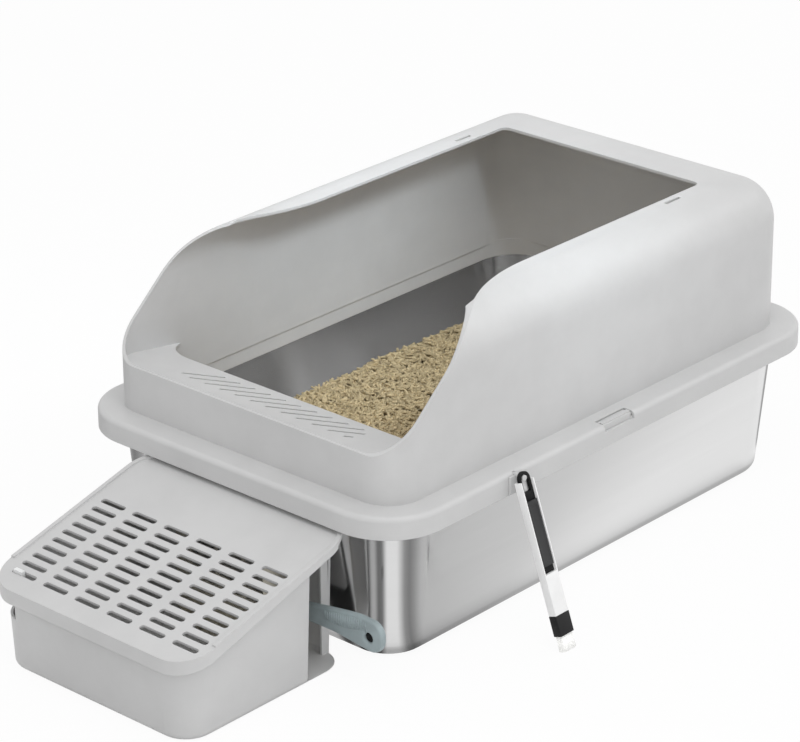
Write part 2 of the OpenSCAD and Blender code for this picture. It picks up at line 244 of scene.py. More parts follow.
# Colours of the small parts and of what lies in the shade.
CATCH_WHITE = screen(238, 239, 239)
SLEEVE_WHITE = screen(246, 246, 246)
BRISTLE_WHITE = screen(253, 253, 251)
# Painted glow of the bristles: emission standing in for light through them.
BRISTLE_PAINTED_GLOW = (1.0, 1.0, 0.98)
INSERT_BLACK = screen(12, 12, 13)
PANEL_BLACK = screen(50, 50, 51)
COLLAR_BLACK = screen(22, 22, 23)
# Painted shade: the dark disc deep in the grip's hole.
HOLE_SHADE_BLACK = screen(20, 22, 23)
SCOOP_TONE = screen(232, 227, 214)
LITTER_SHADE = screen(92, 82, 56)
PELLET_SHADE = screen(128, 112, 78)
# Painted shade: the dark card that only the steel reflects.
CARD_GREY = screen(72, 72, 72)


def moulded_plastic(name, colour, radius, grain=0.00012, rough=0.42):
    """Satin moulded plastic: fine spark-eroded grain, faint flow marks and polished edges."""
    made, graph, shader = material(name)
    place = graph.place()
    soft = rounded(graph, radius)
    worn = edge_wear(graph, soft)
    flow = place.scaled(FLOW_STRETCH).noise(*FLOW)
    cloud = place.noise(*CLOUD)
    speck = place.noise(*SPECK)
    deep = tinted(colour, 0.955)
    pale = tinted(colour, 1.03)
    body = (flow * 0.6 + cloud * 0.4).above(0.32, 0.68).mix(deep, pale)
    tone = (worn * 0.6).mix(body, tinted(colour, 1.3))
    scuff = place.scaled(SCUFF_STRETCH).noise(*SCUFF).above(0.6, 0.75)
    feed(
        graph,
        shader,
        Base_Color=tone,
        Roughness=rough + (speck - 0.5) * 0.12 + scuff * 0.05 - worn * 0.08,
        Normal=bump(graph, speck, grain, 0.55, soft),
        IOR=1.49,
    )
    return made


def brushed_steel(name, colour, rough=0.17):
    """Satin stainless sheet: very fine level grain over a faint rolled waviness."""
    made, graph, shader = material(name)
    place = graph.place()
    lines = place.scaled(LINE_STRETCH).noise(*LINES)
    broad = place.scaled(BAND_STRETCH).noise(*BANDS)
    smear = place.scaled(SMEAR_STRETCH).noise(*SMEAR)
    dark = tinted(colour, 0.975)
    pale = tinted(colour, 1.02)
    feed(
        graph,
        shader,
        Base_Color=(lines * 0.5 + broad * 0.5).above(0.3, 0.7).mix(dark, pale),
        Metallic=1.0,
        Roughness=rough + (lines - 0.5) * 0.06 + (smear - 0.5) * 0.05,
        Anisotropic=0.8,
        Anisotropic_Rotation=0.25,
        Normal=bump(graph, lines, 0.000006, 0.2, rounded(graph, 0.0008)),
    )
    return made


def plain_plastic(name, colour, rough, radius, specular=0.5, tone=0.06):
    """Small moulded part: fine grain and softened edges."""
    made, graph, shader = material(name)
    place = graph.place()
    soft = rounded(graph, radius)
    speck = place.noise(*SMALL_SPECK)
    cloud = place.noise(*SMALL_CLOUD).above(0.35, 0.65)
    dark = tinted(colour, 1 - tone)
    pale = tinted(colour, 1 + tone)
    feed(
        graph,
        shader,
        Base_Color=cloud.mix(dark, pale),
        Roughness=rough + (speck - 0.5) * 0.12,
        Normal=bump(graph, speck, 0.00006, 0.5, soft),
        Specular_IOR_Level=specular,
    )
    return made


def pellet_finish(name, colour, spread, dark):
    """Pressed pellets: each its own tone, with a dusty, fibrous skin."""
    made, graph, shader = material(name)
    place = graph.place()
    each = graph.add("ShaderNodeNewGeometry", output="Random Per Island")
    fibre = place.noise(*FIBRE)
    deep = tinted(colour, 1 - spread)
    pale = tinted(colour, 1 + spread)
    tone = each.mix(deep, pale)
    feed(
        graph,
        shader,
        Base_Color=(fibre.above(0.35, 0.7) * 0.35).mix(tone, dark),
        Roughness=0.78 + (fibre - 0.5) * 0.2,
        Normal=bump(graph, fibre, 0.0003, 0.6),
        Specular_IOR_Level=0.25,
    )
    return made


def litter_ground(name, colour, painted_gap_shade):
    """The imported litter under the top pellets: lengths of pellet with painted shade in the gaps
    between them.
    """
    made, graph, shader = material(name)
    place = graph.place()
    stretch = place.scaled(GROUND_STRETCH)
    gaps = stretch.cells(GROUND_CELLS, "DISTANCE_TO_EDGE")
    tint = stretch.cells(GROUND_CELLS, "F1", "Color")
    ground = gaps.above(0.02, 0.16)
    shade = tint.add("ShaderNodeSeparateColor", None, {"Color": tint}, output=0)
    tone = shade.mix(tinted(colour, 0.6), colour)
    feed(
        graph,
        shader,
        # Painted shade: the gaps between the pellets take the dark colour.
        Base_Color=ground.mix(painted_gap_shade, tone),
        Roughness=0.85,
        Normal=bump(graph, ground, 0.0015, 0.8),
        Specular_IOR_Level=0.2,
    )
    return made


def grip_finish(name, colour):
    """Matt tinted plastic of the scoop's grip, rubbed paler on its edges."""
    made, graph, shader = material(name)
    place = graph.place()
    soft = rounded(graph, 0.0026)
    worn = edge_wear(graph, soft)
    speck = place.noise(*GRIP_SPECK)
    cloud = place.noise(*GRIP_CLOUD).above(0.35, 0.65)
    body = cloud.mix(tinted(colour, 0.9), tinted(colour, 1.08))
    feed(
        graph,
        shader,
        Base_Color=(worn * 0.5).mix(body, tinted(colour, 1.5)),
        Roughness=0.5 + (speck - 0.5) * 0.18,
        Normal=bump(graph, speck, 0.0001, 0.6, soft),
    )
    return made


def bristle_finish(name, colour):
    """Nylon bristles: milky, a little glossy, each its own tone, with a faint painted glow standing
    in for light through them.
    """
    made, graph, shader = material(name)
    each = graph.add("ShaderNodeNewGeometry", output="Random Per Island")
    feed(
        graph,
        shader,
        Base_Color=each.mix(tinted(colour, 0.93), colour),
        Roughness=0.35 + each * 0.15,
        Subsurface_Weight=0.5,
        Subsurface_Radius=(0.006, 0.006, 0.006),
        # Painted glow: a faint emission that stands in for light passing through the bristles.
        Emission_Color=BRISTLE_PAINTED_GLOW,
        Emission_Strength=0.16,
    )
    return made


# ------------------------------------------------------------------ mesh helpers
def piece(name, points, faces, finish, body, smooth=True):
    """A mesh piece on a CAD body, with one material."""
    mesh = bpy.data.meshes.new(name)
    mesh.from_pydata([tuple(p) for p in points], [], faces)
    mesh.materials.append(finish)
    mesh.polygons.foreach_set("use_smooth", [smooth] * len(mesh.polygons))
    mesh.update()
    made = placed(name, mesh)
    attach(made, body)
    return made


def coat(node, finish):
    """One finish on all of a CAD node."""
    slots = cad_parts[node].material_slots
    for entry in slots:
        entry.link = "OBJECT"
        entry.material = finish


def prisms(centres, axes, radii, lengths, sides, taper=1.0):
    """Many short rods in one mesh: points and faces, flat ends kept apart from the sides."""
    helper = np.where(np.abs(axes[:, 2:3]) < 0.9, [[0.0, 0.0, 1.0]], [[1.0, 0.0, 0.0]])
    across = np.cross(axes, helper)
    across /= np.linalg.norm(across, axis=1, keepdims=True)
    third = np.cross(axes, across)
    angle = np.arange(sides) * 2 * math.pi / sides
    ring = (
        across[:, None, :] * np.cos(angle)[None, :, None]
        + third[:, None, :] * np.sin(angle)[None, :, None]
    ) * radii[:, None, None]
    half = (axes * lengths[:, None] / 2)[:, None, :]
    middle = centres[:, None, :]
    points = np.concatenate([middle - half + ring, middle + half + ring * taper], axis=1)
    count = len(centres)
    faces = []
    for k in range(count):
        first = k * 2 * sides
        for i in range(sides):
            j = (i + 1) % sides
            faces.append((first + i, first + j, first + sides + j, first + sides + i))
        faces.append(tuple(first + i for i in reversed(range(sides))))
        faces.append(tuple(first + sides + i for i in range(sides)))
    return points.reshape(-1, 3), faces


def sharpen_ends(made, sides):
    """Flat end faces shade flat, the round sides smooth."""
    mesh = made.data
    flags = [len(p.vertices) != sides for p in mesh.polygons]
    mesh.polygons.foreach_set("use_smooth", flags)


# ------------------------------------------------------------------ settings
class FinishSettings(bpy.types.PropertyGroup):
    shell: FloatVectorProperty(
        name="Shell plastic", description="Colour of the moulded plastic", subtype="COLOR",
        default=screen(207, 207, 207), min=0, max=1,
    )
    steel: FloatVectorProperty(
        name="Pan steel", description="Colour of the brushed steel", subtype="COLOR",
        default=screen(226, 226, 226), min=0, max=1,
    )
    grip: FloatVectorProperty(
        name="Grip", description="Colour of the scoop's grip", subtype="COLOR",
        default=screen(156, 169, 172), min=0, max=1,
    )
    litter: FloatVectorProperty(
        name="Litter", description="Colour of the pellets", subtype="COLOR",
        default=screen(205, 187, 150), min=0, max=1,
    )
    softness: FloatProperty(
        name="Edge softness", description="Radius that softens moulded edges",
        default=0.0009, min=0.0002, max=0.004, subtype="DISTANCE", unit="LENGTH",
    )


class LitterSettings(bpy.types.PropertyGroup):
    count: IntProperty(
        name="Pellets", description="Pellets in each of the three layers",
        default=8600, min=500, max=9500,
    )
    radius: FloatProperty(
        name="Pellet radius", description="Mean radius of a pellet",
        default=0.00118, min=0.0008, max=0.003, subtype="DISTANCE", unit="LENGTH",
    )
    longest: FloatProperty(
        name="Longest pellet", description="Length of the longest pellets",
        default=0.0098, min=0.004, max=0.02, subtype="DISTANCE", unit="LENGTH",
    )
    swell: FloatProperty(
        name="Unevenness", description="How far the litter's surface dips",
        default=0.005, min=0.0, max=0.02, subtype="DISTANCE", unit="LENGTH",
    )


class BrushSettings(bpy.types.PropertyGroup):
    bristles: IntProperty(
        name="Bristles", description="Bristles in the tip", default=900, min=40, max=1500,
    )
    thickness: FloatProperty(
        name="Bristle thickness", description="Radius of one bristle at its root",
        default=0.0004, min=0.0001, max=0.0006, subtype="DISTANCE", unit="LENGTH",
    )


class StageSettings(bpy.types.PropertyGroup):
    sky: FloatProperty(
        name="Sky", description="Brightness of the even light from all round",
        default=0.68, min=0.0, max=2.0,
    )
    side_power: FloatProperty(
        name="Side lamp", description="Power of the softbox at the right",
        default=4.5, min=0.0, max=400.0, subtype="POWER", unit="POWER",
    )
    rear_power: FloatProperty(
        name="Rear lamp", description="Power of the small softbox behind",
        default=7.0, min=0.0, max=400.0, subtype="POWER", unit="POWER",
    )
    top_power: FloatProperty(
        name="Top lamp", description="Power of the softbox overhead",
        default=17.0, min=0.0, max=400.0, subtype="POWER", unit="POWER",
    )
    low_power: FloatProperty(
        name="Low lamp", description="Power of the small softbox low down at the right",
        default=0.3, min=0.0, max=400.0, subtype="POWER", unit="POWER",
    )
    inside_power: FloatProperty(
        name="Inside spot", description="Power of the spot that lights the inside of the left wall",
        default=30.0, min=0.0, max=400.0, subtype="POWER", unit="POWER",
    )
    focal: FloatProperty(
        name="Focal length", description="Focal length on a 36 mm sensor, in millimetres",
        default=153.0, min=20.0, max=300.0,
    )


# ------------------------------------------------------------------ operators
class LITTERBOX_OT_shell(bpy.types.Operator):
    """Finish the moulded shell: shield, step box, lid, rim clips and catch"""

    bl_idname = "litterbox.shell"
    bl_label = "Moulded shell"

    def execute(self, context):
        look = context.scene.litter_box_finish
        shell = moulded_plastic("shell_plastic", tuple(look.shell), look.softness)
        for node in ("shield", "step_box", "step_lid"):
            coat(node, shell)
        coat("rim_clips", moulded_plastic("clip_plastic", tuple(look.shell), 0.0005, 0.00006))
        coat("lid_catch", plain_plastic("catch_plastic", CATCH_WHITE, 0.4, 0.0006))
        return {"FINISHED"}


class LITTERBOX_OT_steel(bpy.types.Operator):
    """Finish the steel pan, the scoop's sieve and its rivets"""

    bl_idname = "litterbox.steel"
    bl_label = "Steel parts"

    def execute(self, context):
        look = context.scene.litter_box_finish
        coat("steel_pan", brushed_steel("pan_steel", tuple(look.steel)))
        scoop = brushed_steel("scoop_steel", SCOOP_TONE, 0.5)
        coat("scoop_head", scoop)
        coat("scoop_rivets", scoop)
        return {"FINISHED"}


# The pan: centres of its round corners, its inner radius there at the floor, and how it widens.
PAN_CORNER = (131 * MM, 244.5 * MM)
PAN_INSIDE = 38.5 * MM
PAN_DRAFT = 0.0945
# The litter: its level, the mound's foot and top, the mound's rings and the pellets' reach.
BED_TOP = 85 * MM
BED_FOOT = 18.2 * MM
MOUND_TOP = BED_TOP - 1.2 * MM
MOUND_RINGS = 26
FOOT_GAP = 0.5 * MM
TOP_GAP = 0.4 * MM
PELLET_GAP = 6.5 * MM
PELLET_SIDES = 6
# Each layer: its name, its lift and the spread of its pellets' slopes in radians.
LAYERS = (
    ("pellets_lower", 0.0002, 0.18),
    ("pellets_middle", 0.0013, 0.26),
    ("pellets_upper", 0.0024, 0.34),
)


def pan_ring(height, inset, share=1.0, per_corner=14, per_side=16):
    """Points round the pan's inner outline at a height, drawn in towards the middle by share."""
    radius = PAN_INSIDE + PAN_DRAFT * height - inset
    ring = []
    for sx, sy, start in ((1, 1, 0), (-1, 1, 90), (-1, -1, 180), (1, -1, 270)):
        for i in range(per_corner + 1):
            a = math.radians(start + 90 * i / per_corner)
            x = sx * PAN_CORNER[0] + radius * math.cos(a)
            y = sy * PAN_CORNER[1] + radius * math.sin(a)
            ring.append((x, y))
        here = ring[-1]
        there = (-here[0], here[1]) if sx * sy > 0 else (here[0], -here[1])
        for i in range(1, per_side):
            t = i / per_side
            ring.append((here[0] + (there[0] - here[0]) * t, here[1] + (there[1] - here[1]) * t))
    return [(x * share, y * share) for x, y in ring]


def swell_at(x, y, depth):
    """Height of the litter's uneven surface at a place, from 0 down to minus depth."""
    wave = (
        math.sin(21 * x + 0.7) * math.cos(13 * y + 1.9)
        + 0.6 * math.sin(47 * x - 31 * y)
        + 0.45 * math.cos(63 * y + 29 * x + 0.4)
    )
    return depth * (wave / 4.1 - 0.5)


class LITTERBOX_OT_litter(bpy.types.Operator):
    """Fill the pan: an uneven bed under three layers of separate pellets"""

    bl_idname = "litterbox.litter"
    bl_label = "Litter"

    def execute(self, context):
        look = context.scene.litter_box_finish
        setup = context.scene.litter_box_litter
        tan = tuple(look.litter)
        self.bed(setup, litter_ground("litter_ground", tan, LITTER_SHADE))
        finish = pellet_finish("pellets", tan, 0.24, PELLET_SHADE)
        random = np.random.default_rng(20)
        for name, lift, tilt in LAYERS:
            self.pellets(random, setup, finish, name, lift, tilt)
        return {"FINISHED"}

    def bed(self, setup, finish):
        """The mound: a ring at its foot, then rings drawn in over its uneven top."""
        rings = [[(x, y, BED_FOOT) for x, y in pan_ring(BED_FOOT, FOOT_GAP)]]
        for k in range(MOUND_RINGS):
            outline = pan_ring(BED_TOP, TOP_GAP, 1.0 - k / MOUND_RINGS)
            rings.append([(x, y, MOUND_TOP + swell_at(x, y, setup.swell)) for x, y in outline])
        n = len(rings[0])
        points = [p for ring in rings for p in ring]
        faces = between_rings(len(rings), n)
        points.append((0, 0, MOUND_TOP + swell_at(0, 0, setup.swell)))
        last = (len(rings) - 1) * n
        faces += [(last + i, last + (i + 1) % n, len(points) - 1) for i in range(n)]
        faces.append(tuple(reversed(range(n))))
        made = piece("litter_mound", points, faces, finish, "pan")
        made.visible_glossy = False
        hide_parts("litter_bed")

    def pellets(self, random, setup, finish, name, lift, tilt):
        """One layer of loose pellets, each with its own size, place, turn and slope."""
        count = setup.count
        reach = PAN_INSIDE + PAN_DRAFT * BED_TOP
        half = np.array([PAN_CORNER[0] + reach, PAN_CORNER[1] + reach])
        places = []
        while len(places) < count:
            x, y = random.uniform(-half, half)
            dx = max(0.0, abs(x) - PAN_CORNER[0])
            dy = max(0.0, abs(y) - PAN_CORNER[1])
            if math.hypot(dx, dy) < reach - PELLET_GAP:
                places.append((x, y, BED_TOP + swell_at(x, y, setup.swell) + lift))
        centres = np.array(places)
        radii = setup.radius * random.uniform(0.85, 1.15, count)
        centres[:, 2] += radii * 0.6 + random.uniform(-0.0006, 0.0008, count)
        lengths = setup.longest * random.uniform(0.42, 1.0, count)
        turn = random.uniform(0, 2 * math.pi, count)
        rise = random.normal(0, tilt, count)
        level = np.cos(rise)
        axes = np.stack([np.cos(turn) * level, np.sin(turn) * level, np.sin(rise)], axis=1)
        points, faces = prisms(centres, axes, radii, lengths, PELLET_SIDES)
        made = piece(name, points, faces, finish, "pan")
        made.visible_glossy = False
        sharpen_ends(made, PELLET_SIDES)


# The brush hangs from here, leaning outwards.
HANG_AT = (212.6, -155.5, 162.5)
HANG_LEAN = math.radians(-19.5)
HANG = Matrix.Translation(Vector(HANG_AT) * MM) @ Matrix.Rotation(HANG_LEAN, 4, "Y")
# Its bars, in millimetres from there: span in x, half the width in y and span in z.
SLEEVE = ((-4.35, 4.35), 8.9, (-136, -9))
SLEEVE_HOLLOW = ((-2.85, 9), 7.6, (-97, 4))
SLAT = ((-2.5, 1.5), 7.2, (-96.6, -19.5))
PANEL = ((1.45, 3.6), 6.9, (-90, -28))
PANEL_DISH = ((3.2, 6), 4.6, (-86, -33))
COLLAR = ((-4.55, 4.55), 9.1, (-155.6, -136.05))
COLLAR_MOUTH = ((-3.4, 3.4), 8.0, (-170, -153))
CORE = ((-3.0, 3.0), 7.6, (-169.2, -153.2))
# The hanging eye: top of the slat's round end and of the hole in it, and the hole's radius.
SLAT_TOP = -0.4
EYE_TOP = -3.2
EYE_RADIUS = 4.4
# Bristles: half the tuft's thickness and width, the height of their middles, length and sides.
TUFT_HALF = (3.2, 7.8)
TUFT_MIDDLE = -162.8
BRISTLE_LENGTH = 16.2
RIM_SHORTER = 1.2
BRISTLE_SIDES = 5
# From these angles on an edge gets rounded, and shades sharp.
BEVEL_FROM = math.radians(40)
SHARP_FROM = math.radians(35)


def block(low, high):
    """A closed box in a bmesh, between two corners in millimetres."""
    made = bmesh.new()
    bmesh.ops.create_cube(made, size=1.0)
    for vertex in made.verts:
        vertex.co = [(a + b) / 2 + t * (b - a) for a, b, t in zip(low, high, vertex.co)]
    return made


def bar(across, half, along):
    """A closed box in a bmesh: span in x, half its width in y and span in z, in millimetres."""
    return block((across[0], -half, along[0]), (across[1], half, along[1]))


def slab(outline, low, high):
    """A closed plate in a bmesh: an outline over y and z, from one x to another, in millimetres."""
    made = bmesh.new()
    face = made.faces.new([made.verts.new((low, y, z)) for y, z in outline])
    moved = bmesh.ops.extrude_face_region(made, geom=[face])["geom"]
    for vertex in moved:
        if isinstance(vertex, bmesh.types.BMVert):
            vertex.co.x = high
    bmesh.ops.recalc_face_normals(made, faces=made.faces)
    return made


def stadium(radius, top, bottom, steps=14):
    """Outline across y and z with a round top and a level bottom."""
    turn = [math.pi * i / steps for i in range(steps + 1)]
    arch = [(radius * math.cos(a), top - radius + radius * math.sin(a)) for a in turn]
    return arch + [(-radius, bottom), (radius, bottom)]


def carved(name, solids, cuts, edge, finish, body, place=None):
    """Joins closed solids, cuts others out, rounds sharp edges and makes one piece in metres."""
    holders = []
    for part in (*solids, *cuts):
        mesh = bpy.data.meshes.new(name)
        part.to_mesh(mesh)
        part.free()
        holders.append(placed(name, mesh))
    base = holders[0]
    for i, tool in enumerate(holders[1:], 1):
        change = base.modifiers.new("shape", "BOOLEAN")
        change.operation = "UNION" if i < len(solids) else "DIFFERENCE"
        change.solver = "EXACT"
        change.object = tool
    soften = base.modifiers.new("edge", "BEVEL")
    soften.width = edge
    soften.segments = 3
    soften.limit_method = "ANGLE"
    soften.angle_limit = BEVEL_FROM
    solid = base.evaluated_get(bpy.context.evaluated_depsgraph_get()).to_mesh()
    place = place or Matrix.Identity(4)
    points = [place @ (vertex.co * MM) for vertex in solid.vertices]
    faces = [tuple(face.vertices) for face in solid.polygons]
    base.to_mesh_clear()
    for holder in holders:
        bpy.data.objects.remove(holder)
    made = piece(name, points, faces, finish, body)
    made.data.set_sharp_from_angle(angle=SHARP_FROM)
    return made


class LITTERBOX_OT_brush(bpy.types.Operator):
    """Build the groove brush: white channel, black insert with its eye, ferrule and bristles"""

    bl_idname = "litterbox.brush"
    bl_label = "Groove brush"

    def execute(self, context):
        self.sleeve()
        self.insert()
        self.ferrule()
        self.tuft(context.scene.litter_box_brush)
        return {"FINISHED"}

    def sleeve(self):
        """A channel, open at the front and at the top."""
        white = plain_plastic("sleeve_plastic", SLEEVE_WHITE, 0.35, 0.0004, tone=0.015)
        made = carved(
            "brush_channel", [bar(*SLEEVE)], [bar(*SLEEVE_HOLLOW)],
            0.35, white, "brush", HANG,
        )
        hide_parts("brush_sleeve")

    def insert(self):
        """The black slat with its hanging eye, and the dished panel on it."""
        black = plain_plastic("insert_plastic", INSERT_BLACK, 0.5, 0.0004, 0.25)
        radius, top = SLAT[1], SLAT[2][1]
        made = carved(
            "brush_insert",
            [bar(*SLAT), slab(stadium(radius, SLAT_TOP, -24), -1.6, 1.6)],
            [slab(stadium(EYE_RADIUS, EYE_TOP, top), -9, 9)],
            0.45, black, "brush", HANG,
        )
        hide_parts("brush_handle")
        panel = plain_plastic("panel_plastic", PANEL_BLACK, 0.45, 0.0004, 0.4)
        carved(
            "brush_panel", [bar(*PANEL)], [bar(*PANEL_DISH)],
            0.3, panel, "brush", HANG,
        )

    def ferrule(self):
        """The black collar that clasps the bristles' roots."""
        black = plain_plastic("ferrule_black", COLLAR_BLACK, 0.42, 0.0004, 0.35)
        made = carved(
            "brush_collar", [bar(*COLLAR)], [bar(*COLLAR_MOUTH)],
            0.4, black, "brush", HANG,
        )
        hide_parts("brush_ferrule")

    def tuft(self, setup):
        """Separate filaments round a dense core."""
        random = np.random.default_rng(7)
        count = setup.bristles
        thick, wide = TUFT_HALF
        spots = [random.uniform(-thick, thick, count), random.uniform(-wide, wide, count)]
        root = np.stack([*spots, np.full(count, TUFT_MIDDLE)], axis=1)
        rim = np.maximum(np.abs(root[:, 0]) / thick, np.abs(root[:, 1]) / wide)
        splay = np.stack(
            [root[:, 0] * 0.010 + random.normal(0, 0.014, count),
             root[:, 1] * 0.006 + random.normal(0, 0.014, count),
             -np.ones(count)],
            axis=1,
        )
        splay /= np.linalg.norm(splay, axis=1, keepdims=True)
        lengths = BRISTLE_LENGTH - RIM_SHORTER * rim ** 4 + random.uniform(-0.5, 0.5, count)
        radii = np.full(count, setup.thickness / MM)
        points, faces = prisms(root, splay, radii, lengths, BRISTLE_SIDES, taper=0.75)
        points = [HANG @ (Vector(p) * MM) for p in points]
        white = bristle_finish("bristles", BRISTLE_WHITE)
        made = piece("bristle_tuft", points, faces, white, "brush")
        sharpen_ends(made, BRISTLE_SIDES)
        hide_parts("brush_bristles")
        carved("bristle_core", [bar(*CORE)], [], 0.9, white, "brush", HANG)


# The hook, in millimetres: y of the peg, heights and radii of peg and head, spans along x.
PEG_Y = -155.5
PEG = (157, 2.0, (200.2, 215.4))
PEG_HEAD = (156.5, 2.9, (214.6, 216.6))
PLATE = ((205.05, -164.5, 139.5), (207.05, -146.5, 157))


class LITTERBOX_OT_hook(bpy.types.Operator):
    """Build the hook on the ledge: a plate and a headed peg through the brush's eye"""

    bl_idname = "litterbox.hook"
    bl_label = "Brush hook"

    def execute(self, context):
        look = context.scene.litter_box_finish
        finish = moulded_plastic("hook_plastic", tuple(look.shell), 0.0005, 0.00006)
        rods = [
            slab([(PEG_Y + y, height + z) for y, z in on_circle(radius, 28)], *span)
            for height, radius, span in (PEG, PEG_HEAD)
        ]
        made = carved("peg_hook", [block(*PLATE), *rods], [], 0.4, finish, "shield")
        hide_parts("brush_hook")
        return {"FINISHED"}


# The grip, in millimetres: its ends along x, y of its rear face, half its thickness, the radius
# of its long edges, its underside, its round end, and the hanging hole's place and radius.
GRIP_START = 80.3
GRIP_END = 201.0
GRIP_BACK = -323.5
GRIP_HALF = 3.5
GRIP_EDGE = 2.2
GRIP_LOW = 40.0
GRIP_ROUND = 13.5
HOLE = (184.5, 53.2)
HOLE_RADIUS = 4.8
FLANGE = ((80.3, -337, 46), (85.5, -322.9, 70))
# Ribs: first and last place, pitch and radius.
RIB_PLACES = (133.0, 183.0, 2.7)
RIB_RADIUS = 0.8
# Dark disc in the hole, painted shade: depth and radius of each of its rings.
HOLE_SHADE_STEPS = ((0.0, 4.75), (-0.6, 4.75), (-0.6, 4.085), (-1.4, 2.85))


class LITTERBOX_OT_grip(bpy.types.Operator):
    """Build the scoop's arched grip: hanging hole, flange, fine ribs and a dark disc in the hole as
    painted shade
    """

    bl_idname = "litterbox.grip"
    bl_label = "Scoop grip"

    def execute(self, context):
        finish = grip_finish("grip_plastic", tuple(context.scene.litter_box_finish.grip))
        self.body(finish)
        self.ribs(finish)
        self.hole_shade()
        return {"FINISHED"}

    def back_of_grip(self, x):
        """Height of the grip's arched back at x, in millimetres."""
        slope = min(1.15, max(0.0, (172 - x) / 54))
        return 71.4 - 8.1 * slope ** 1.1 - 0.6 * max(0.0, (x - 172) / 17)

    def belly_of_grip(self, x):
        """Height of the grip's underside at x, in millimetres."""
        return GRIP_LOW + 4.7 * min(1.0, max(0.0, (186 - x) / 42))

    def outline(self):
        """The grip's side view, from the neck along the underside, round the end and back."""
        radius, middle = GRIP_ROUND, GRIP_END - GRIP_ROUND
        low = GRIP_LOW + radius
        neck = self.belly_of_grip(GRIP_START)
        high = self.back_of_grip(middle) - radius
        turn = [math.radians(-90 + 90 * i / 9) for i in range(10)]
        points = [(GRIP_START, neck + 1.5), (GRIP_START + 1.5, neck)]
        points += [(x, self.belly_of_grip(x)) for x in np.linspace(GRIP_START + 9, middle - 4, 24)]
        points += [(middle + radius * math.cos(a), low + radius * math.sin(a)) for a in turn]
        points += [(middle - radius * math.sin(a), high + radius * math.cos(a)) for a in turn]
        points += [(x, self.back_of_grip(x)) for x in np.linspace(middle - 4, GRIP_START + 2, 30)]
        points.append((GRIP_START, self.back_of_grip(GRIP_START) - 1.5))
        return points

    def body(self, finish):
        """A filled profile with rounded edges and a bored hole, and the flange at its neck."""
        flat = bpy.data.curves.new("grip_profile", "CURVE")
        flat.dimensions = "2D"
        flat.fill_mode = "BOTH"
        flat.extrude = (GRIP_HALF - GRIP_EDGE) * MM
        flat.bevel_depth = GRIP_EDGE * MM
        flat.bevel_resolution = 5
        flat.offset = -GRIP_EDGE * MM
        hole = [(HOLE[0] + x, HOLE[1] + z) for x, z in on_circle(HOLE_RADIUS, 36)]
        for loop in (self.outline(), hole):
            line = flat.splines.new("POLY")
            line.points.add(len(loop) - 1)
            line.use_cyclic_u = True
            for point, (x, z) in zip(line.points, loop):
                point.co = (x * MM, z * MM, 0.0, 1.0)
        source = placed("grip_profile", flat)
        solid = source.evaluated_get(bpy.context.evaluated_depsgraph_get()).to_mesh()
        middle = (GRIP_BACK - GRIP_HALF) * MM
        points = [Vector((v.co.x, middle + v.co.z, v.co.y)) for v in solid.vertices]
        faces = [tuple(face.vertices) for face in solid.polygons]
        source.to_mesh_clear()
        bpy.data.objects.remove(source)
        bpy.data.curves.remove(flat)
        made = piece("scoop_grip", points, faces, finish, "scoop")
        weld = bmesh.new()
        weld.from_mesh(made.data)
        bmesh.ops.remove_doubles(weld, verts=weld.verts, dist=0.00001)
        bmesh.ops.recalc_face_normals(weld, faces=weld.faces)
        for face in weld.faces:
            face.smooth = abs(face.normal.y) < 0.999
        weld.to_mesh(made.data)
        weld.free()
        made.visible_glossy = False
        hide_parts("scoop_handle")
        carved("grip_flange", [block(*FLANGE)], [], 1.2, finish, "scoop")

    def ribs(self, finish):
        """Fine upright ribs on the upper half of the grip's front."""
        places = np.arange(*RIB_PLACES)
        tops = np.array([self.back_of_grip(x) - 2.6 for x in places])
        long = 7.0 + 5.5 * np.sin((places - 128) / 62 * math.pi)
        front = np.full(len(places), GRIP_BACK - 2 * GRIP_HALF + 0.15)
        centres = np.stack([places, front, tops - long / 2], axis=1) * MM
        axes = np.tile([[0.06, 0.0, 0.998]], (len(places), 1))
        radii = np.full(len(places), RIB_RADIUS * MM)
        points, faces = prisms(centres, axes, radii, long * MM, 10)
        made = piece("grip_ribs", points, faces, finish, "scoop")
        made.visible_glossy = False

    def hole_shade(self):
        """A dark disc set deep in the hanging hole: painted shade in place of the view through it.
        """
        centre, n, steps = Vector((HOLE[0], GRIP_BACK - 3.4, HOLE[1])), 40, HOLE_SHADE_STEPS
        points = [
            (centre + Vector((x, depth, z))) * MM
            for depth, radius in steps
            for x, z in on_circle(radius, n)
        ]
        faces = between_rings(len(steps), n)
        faces += [tuple(reversed(range(n))), tuple(range(3 * n, 4 * n))]
        dark = plain_plastic("grip_seat_plastic", HOLE_SHADE_BLACK, 0.6, 0.0003, 0.2)
        piece("grip_seat", points, faces, dark, "scoop", smooth=False)


# Softboxes: name, direction from what they light, distance, size and the setting of their power.
SOFTBOXES = (
    ("side_softbox", (0.8, -0.06, 0.6), 3.0, 1.9, "side_power"),
    ("rear_softbox", (0.4, 0.68, 0.61), 3.0, 0.8, "rear_power"),
    ("top_softbox", (0.3, -0.25, 1.0), 2.6, 1.5, "top_power"),
    ("low_softbox", (0.72, -0.5, -0.02), 0.85, 0.4, "low_power"),
)
# The one that neither the camera nor a gloss sees.
UNSEEN = ("low_softbox",)
LAMP_AIM = Vector((0.0, -0.08, 0.12))
# The inside spot: from where to where, its tint, angle and softness.
SPOT_LINE = (Vector((0.7, -0.12, 1.1)), Vector((-0.17, 0.03, 0.19)))
SPOT_TINT = (0.86, 0.94, 1.0)
SPOT_ANGLE = math.radians(25)
SPOT_RADIUS = 0.12
